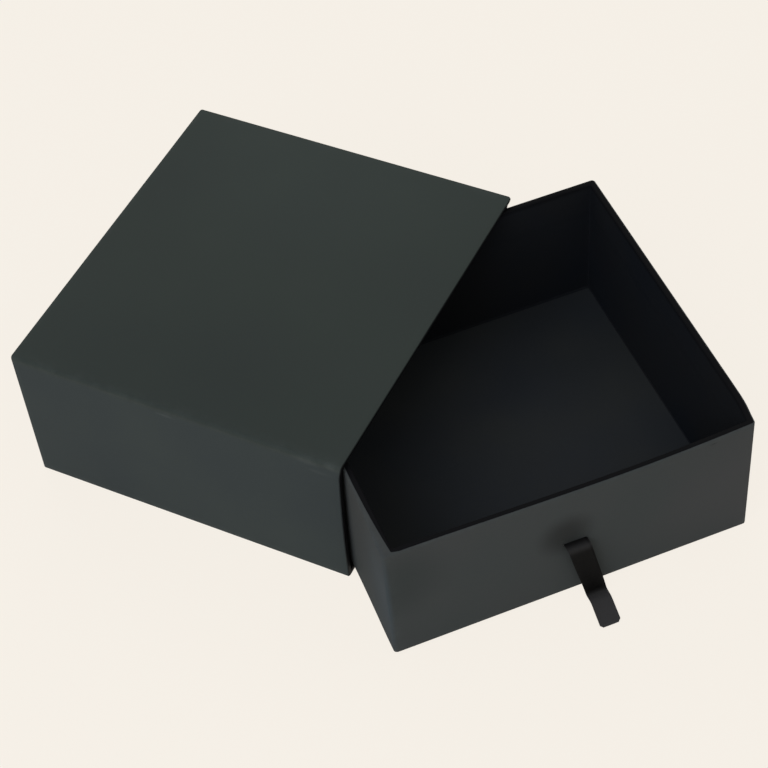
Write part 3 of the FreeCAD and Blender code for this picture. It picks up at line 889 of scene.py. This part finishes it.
def rim_black_and_shade(line, facing):
    """The tray lining's black share: its rim lap, fading down the wall; black paper and painted shade."""
    return eased(1 - (TRAY_TOP - line[:, 1]) / BLACK_FADE)


def dress_tray():
    """Wrap, wall lining lapped over the rim, and the sheets on the floor and under the base."""
    box = (TRAY_LOW[:2], TRAY_HIGH[:2], TRAY_CORNER, TRAY, SLOT)
    rim, turned = TRAY_HIGH[2], TRAY_HIGH[2] - TURN_IN
    wall, foot = RIM_WIDTH + PAPER, limits("tray_floor_board", TRAY)[1][2] + PAPER
    wrap_path = [
        (TURN_IN, TRAY_LOW[2], 0), (0, TRAY_LOW[2], TRAY_EDGE), (0, rim, RIM_FOLD),
        (wall, rim, RIM_FOLD), (wall, turned, 0),
    ]
    wrap = folded_sheet("tray_wrap_paper", box, wrap_path, TRAY_PAPER, handled_tray)
    dress(wrap, "tray", "tray_wrap")

    lining_path = [
        (LAP_MARGIN, TRAY_TOP, 0), (RIM_WIDTH + 2 * PAPER, TRAY_TOP, LAP_FOLD),
        (RIM_WIDTH + 2 * PAPER, turned, FOLD_RUN), (wall, turned - RAMP, FOLD_RUN),
        (wall, foot, TIGHT_FOLD), (wall + LINING_FOOT, foot, 0),
    ]
    lining = folded_sheet("tray_lining_paper", box, lining_path, LINING_PAPER, mitred_lap, rim_black_and_shade)
    dress(lining, "tray", "tray_wall_lining")

    floor_low, floor_high = limits("tray_floor_lining", TRAY)
    floor_low += (*FLOOR_MARGINS[:2], PAPER)
    floor_high -= (*FLOOR_MARGINS[2:], 0)
    floor = flat_sheet("tray_floor_paper", floor_low, floor_high, PAPER, TRAY, FLOOR_PAPER, handled_tray)
    dress(floor, "tray", "tray_floor_lining")
    dress_base("tray_base_paper", "tray", "tray_base_sheet", TRAY, handled_tray)


def dress_boards():
    """Boards and tapes get their own materials; all but those at the back follow the handled papers."""
    tray_cuts = [((1, 0, 0), x) for x in spread(TRAY_LOW[0], TRAY_HIGH[0], BOARD_CELL)]
    tray_cuts += [((0, 1, 0), TRAY_LOW[1] + step * MM) for step in HANDLED_CUTS]
    sleeve_cuts = [((0, 1, 0), z) for z in spread(SLEEVE_LOW[2], SLEEVE_HIGH[2], CELL)]
    sleeve_cuts += [((0, 0, 1), -SLEEVE_LOW[1] - step * MM) for step in HANDLED_CUTS]
    handling = {"tray": (TRAY, handled_tray, tray_cuts), "sleeve": (TUBE, racked_mouth, sleeve_cuts)}
    for name, node in nodes.items():
        if not ("board" in name or "tape" in name or "stays" in name):
            continue
        material, finish = (BOARD, "greyboard") if "board" in name else (TAPE, "stay_tape")
        piece = node
        if "_back_" not in name:
            body = name.split("_")[0]
            piece = handled_copy(f"{name}_handled", name, *handling[body])
            dress(piece, body, name)
        piece.data.materials.clear()
        piece.data.materials.append(material)


def resting_height(x, y):
    """The height, in the tray's frame, of the middle of a ribbon that lies on what the box stands on."""
    at_zero = (TRAY @ Vector((x, y, 0.0))).z
    rise = (TRAY @ Vector((x, y, 1.0))).z - at_zero
    return (SURFACE_GAP + RIBBON_THICKNESS / 2 - at_zero) / rise


def ribbon_poles(leg_y):
    """The poles of the ribbon's middle line, in the tray's frame: up inside the front, out, down, along."""
    x, z = RIBBON_OFFSET, SLOT_LEVEL
    poles = [(x, leg_y, z - ANCHOR_LENGTH * share) for share in ANCHOR_SHARES]
    poles += [(x, leg_y * share, z) for share in OUT_SHARES]
    for drift_share, reach_share, height_share in TAIL_SHARES:
        here_x, here_y = x + drift_share * RIBBON_DRIFT, -reach_share * RIBBON_REACH
        rest_z = resting_height(here_x, here_y)
        poles.append((here_x, here_y, rest_z + height_share * (z - rest_z)))
    return poles


def ribbon_plies(line, side):
    """Both plies of a strip folded double at the end of a line: for each point of the strip its place, the
    way that it faces, its distance to the tip, how loose it lies and its share of the upper ply."""
    along = np.gradient(line, axis=0)
    along /= np.linalg.norm(along, axis=1)[:, None]
    through = np.cross(side, along)
    through /= np.linalg.norm(through, axis=1)[:, None]
    run = run_along(line)
    to_tip = run[-1] - run
    free = ((run - ANCHOR_LENGTH - FREE_FROM) / FREE_RUN).clip(0, 1)
    lift = RIBBON_PLY / 2 + PLY_GAP + RIBBON_LIFT * free * (to_tip / TIP_CLOSING).clip(TIP_LIFT, 1)
    off_line = through * lift[:, None]
    turns = np.linspace(math.pi / 2, -math.pi / 2, TIP_TURNS)[1:-1]
    round_tip = np.array([math.sin(turn) * through[-1] + math.cos(turn) * along[-1] for turn in turns])
    middles = np.concatenate([line + off_line, line[-1] + round_tip * lift[-1], (line - off_line)[::-1]])
    facing = np.concatenate([through, round_tip, -through[::-1]])
    tip_distance = np.concatenate([to_tip, np.zeros(len(turns)), to_tip[::-1]])
    looseness = np.concatenate([free, np.ones(len(turns)), free[::-1]])
    upper = np.concatenate([np.ones(len(line)), np.linspace(1, -1, len(turns)), -np.ones(len(line))])
    return middles, facing, tip_distance, looseness, upper


def dress_ribbon():
    """The doubled ribbon: two plies with a fold at the tip, from its glued end to where it lies."""
    side = np.array([1.0, 0.0, 0.0])
    line = smooth_line(ribbon_poles(WALL_Y + RIBBON_THICKNESS / 2 + LEG_GAP))
    middles, facing, tip_distance, looseness, upper = ribbon_plies(line, side)
    free_length = tip_distance[0] - ANCHOR_LENGTH
    splay = RIBBON_SPLAY * upper * eased(tip_distance / free_length)
    rounding = RIBBON_TIP - np.sqrt(RIBBON_TIP ** 2 - (RIBBON_TIP - tip_distance).clip(0) ** 2)
    half = RIBBON_WIDTH / 2 - rounding
    shares = np.linspace(-1, 1, RIBBON_COLUMNS + 1)
    cup = RIBBON_CUP * looseness[:, None] * (shares[None, :] ** 2) * upper[:, None]
    across = side * (splay[:, None] + half[:, None] * shares[None, :])[:, :, None]
    layers = []
    for sign in (1, -1):
        middle = middles + facing * (sign * RIBBON_PLY / 2)
        layers.append(middle[:, None, :] + across - facing[:, None, :] * cup[:, :, None])
    points, faces = two_sided(layers[0], layers[1], False)
    # The paler share: dust and a painted sheen over the strip's last part, and a painted highlight on the
    # arch at the root
    from_root = (free_length - ROOT_HIGHLIGHT_AT - tip_distance) / ROOT_HIGHLIGHT_RUN
    dust_and_sheen_share = eased((DUST_SHEEN_END - tip_distance) / (DUST_SHEEN_END - DUST_SHEEN_FULL)) + ROOT_HIGHLIGHT * np.exp(-(from_root ** 2))
    dust_and_sheen = {"dust_and_sheen": np.tile(np.repeat(dust_and_sheen_share, len(shares)), 2)}
    ribbon = new_piece("ribbon_pull", handled_tray(points), faces, TRAY, RIBBON, dust_and_sheen, RIBBON_SMOOTH)

    strip = run_along(middles)
    places = np.array([(RIBBON_WIDTH / 2 * (1 + share), at) for at in strip for share in shares])
    places = np.concatenate([places, places])
    layer = ribbon.data.uv_layers.new(name="strip")
    for loop in ribbon.data.loops:
        layer.data[loop.index].uv = places[loop.vertex_index]

    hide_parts("ribbon_anchor", "ribbon_tail")
    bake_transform(ribbon)


def dress_patch():
    """The patch that holds the ribbon's inner end: a small sheet drawn down over it."""
    low, high = limits("anchor_patch", TRAY)
    across, up = np.linspace(low[0], high[0], PATCH_COLUMNS), np.linspace(low[2], high[2], PATCH_ROWS)
    xs, zs = np.meshgrid(across, up)
    beyond_x = (np.abs(xs - RIBBON_OFFSET) - RIBBON_WIDTH / 2 - RIBBON_SPLAY).clip(0)
    beyond_z = np.maximum(SLOT_LEVEL - ANCHOR_LENGTH - zs, zs - SLOT_LEVEL - RIBBON_THICKNESS).clip(0)
    rise = RIBBON_THICKNESS * PATCH_SWELL * eased(1 - np.hypot(beyond_x, beyond_z) / PATCH_RISE)
    shown, hidden = (np.dstack([xs, WALL_Y + seat + rise, zs]) for seat in (PATCH_PAPER, PATCH_SEAT))
    points, faces = two_sided(shown, hidden, False)
    patch = new_piece("anchor_patch_paper", handled_tray(points), faces, TRAY, LINING_PAPER)
    dress(patch, "tray", "anchor_patch")


# Stage

def lamp(name, towards, elevation, strength, tint):
    """A square soft lamp that faces the box, its power worked out from the share of full light it gives."""
    rise = math.radians(elevation)
    way = Vector((*towards, 0)).normalized() * math.cos(rise)
    way.z = math.sin(rise)
    light = bpy.data.lights.new(name, "AREA")
    light.shape, light.size = "SQUARE", LAMP_WIDTH
    light.energy = strength * math.pi ** 2 * LAMP_DISTANCE ** 2
    light.color = tint
    holder = placed(name, light)
    holder.location = way * LAMP_DISTANCE
    holder.rotation_euler = (-way).to_track_quat("-Z", "Y").to_euler()


def mixed_shaders(tree, share, first, second, output):
    """Two shaders mixed by a share, joined to the tree's output of the type given."""
    mix = add(tree, "ShaderNodeMixShader", Fac=share)
    out = next(node for node in tree.nodes if node.type == output)
    tree.links.new(first.outputs[0], mix.inputs[1])
    tree.links.new(second.outputs[0], mix.inputs[2])
    tree.links.new(mix.outputs[0], out.inputs["Surface"])


def floor_material():
    """Pale floor that shows the backdrop's own colour, with part of the shadow on it."""
    material, tree, shader = node_tree("pale_floor")
    tree.nodes.remove(shader)
    plain = add(tree, "ShaderNodeBsdfDiffuse", Color=BACKDROP)
    glow = add(tree, "ShaderNodeEmission", Color=BACKDROP, Strength=GLOW_STRENGTH)
    path = add(tree, "ShaderNodeLightPath")
    seen = sums(tree, "MAXIMUM", path.outputs["Is Camera Ray"], path.outputs["Is Glossy Ray"])
    mixed_shaders(tree, sums(tree, "MULTIPLY", seen, BACKDROP_GLOW), plain, glow, "OUTPUT_MATERIAL")
    return material


def build_stage():
    """Floor, sky and lamps."""
    corners = [(x * FLOOR_HALF, y * FLOOR_HALF, 0) for x, y in ((-1, -1), (1, -1), (1, 1), (-1, 1))]
    mesh = bpy.data.meshes.new("floor")
    mesh.from_pydata(corners, [], [(0, 1, 2, 3)])
    mesh.materials.append(floor_material())
    placed("floor", mesh)
    world = bpy.data.worlds.new("sky")
    bpy.context.scene.world = world
    world.use_nodes = True
    tree = world.node_tree
    light = tree.nodes["Background"]
    light.inputs["Color"].default_value = SKY_TINT
    light.inputs["Strength"].default_value = SKY_STRENGTH
    shown = add(tree, "ShaderNodeBackground", Color=BACKDROP)
    path = add(tree, "ShaderNodeLightPath")
    mixed_shaders(tree, path.outputs["Is Camera Ray"], light, shown, "OUTPUT_WORLD")
    for values in LAMPS:
        lamp(*values)


def build_camera():
    """The camera at the photograph's place, turned by its azimuth, elevation and roll."""
    azimuth, elevation, roll = (math.radians(v) for v in (CAMERA_AZIMUTH, CAMERA_ELEVATION, CAMERA_ROLL))
    flat = math.cos(elevation)
    back = Vector((math.sin(azimuth) * flat, -math.cos(azimuth) * flat, math.sin(elevation)))
    level = Vector((0, 0, 1)).cross(back).normalized()
    upright = back.cross(level)
    right = level * math.cos(roll) + upright * math.sin(roll)
    up = upright * math.cos(roll) - level * math.sin(roll)
    lens = bpy.data.cameras.new("camera")
    lens.sensor_fit, lens.sensor_width, lens.lens = "HORIZONTAL", CAMERA_SENSOR, CAMERA_LENS
    lens.clip_start, lens.clip_end = CLIP_START, CLIP_END
    camera = placed("camera", lens)
    camera.matrix_world = Matrix.Translation(CAMERA_PLACE) @ Matrix((right, up, back)).transposed().to_4x4()
    bpy.context.scene.camera = camera


bpy.context.scene.view_settings.view_transform = "Standard"
dress_sleeve()
dress_tray()
dress_boards()
dress_ribbon()
dress_patch()
build_stage()
build_camera()
